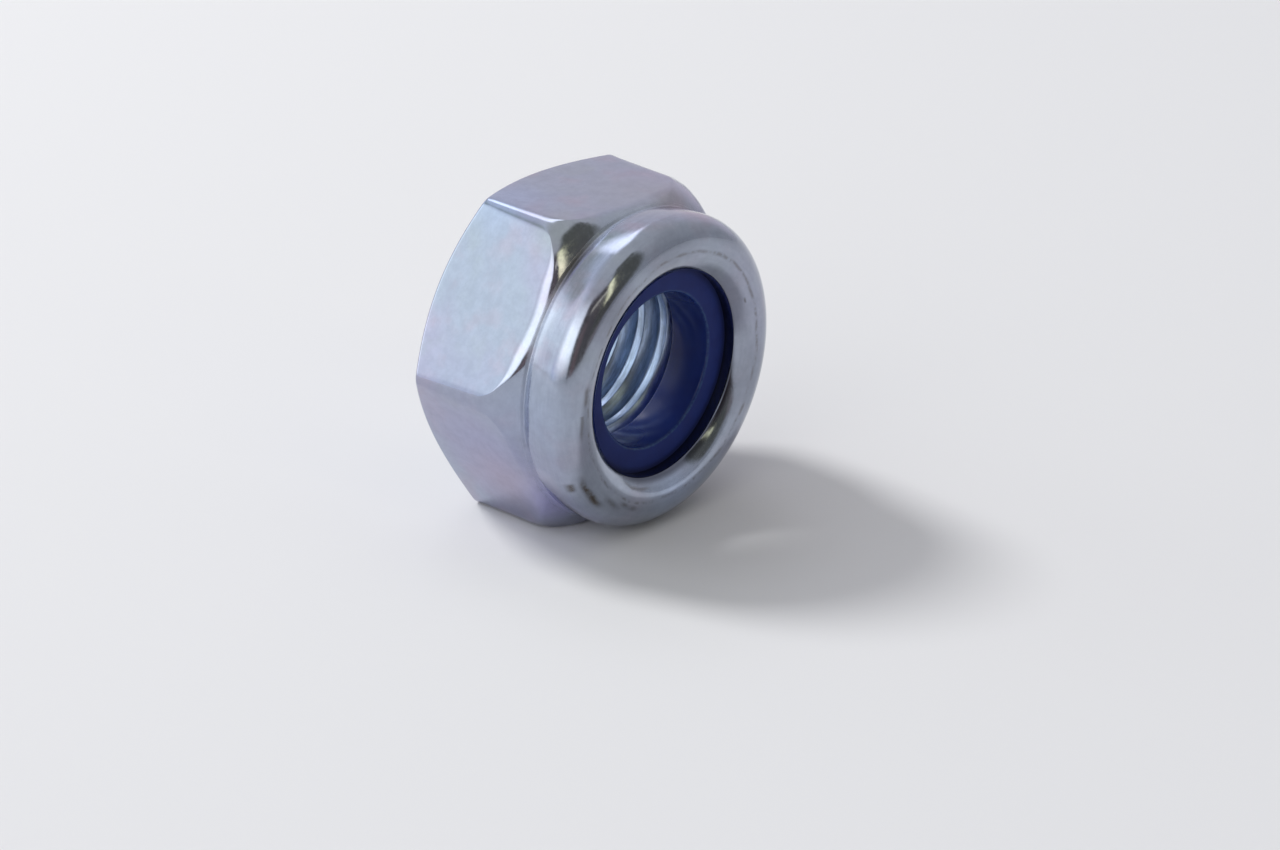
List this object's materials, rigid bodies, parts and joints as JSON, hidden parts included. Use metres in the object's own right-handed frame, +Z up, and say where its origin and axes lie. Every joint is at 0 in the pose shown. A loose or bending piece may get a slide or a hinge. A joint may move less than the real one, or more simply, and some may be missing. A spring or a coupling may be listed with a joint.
{
  "type": "nylon insert lock nut",
  "caption": "Hexagonal steel lock nut with a rolled collar that holds a captive nylon ring; the ring grips the screw thread so the nut stays put under vibration.",
  "frame": {"origin": "centre of the bounding box, on the thread axis halfway between the bearing face and the collar's crown", "axes": "+Z up with the nut standing on one hex flat, +Y along the thread axis out of the bearing face, the nylon end looking along -Y, +X across two corners of the hexagon"},
  "size_m": [0.0194, 0.01, 0.017],
  "materials": {
    "zinc_plated_steel": "bright blue zinc plating, satin, with faint lilac and green tints",
    "blue_nylon": "dark blue nylon, slightly waxy"
  },
  "bodies": {
    "root": {"nut_body": "zinc_plated_steel", "nylon_ring": "blue_nylon"}
  },
  "joints": []
}
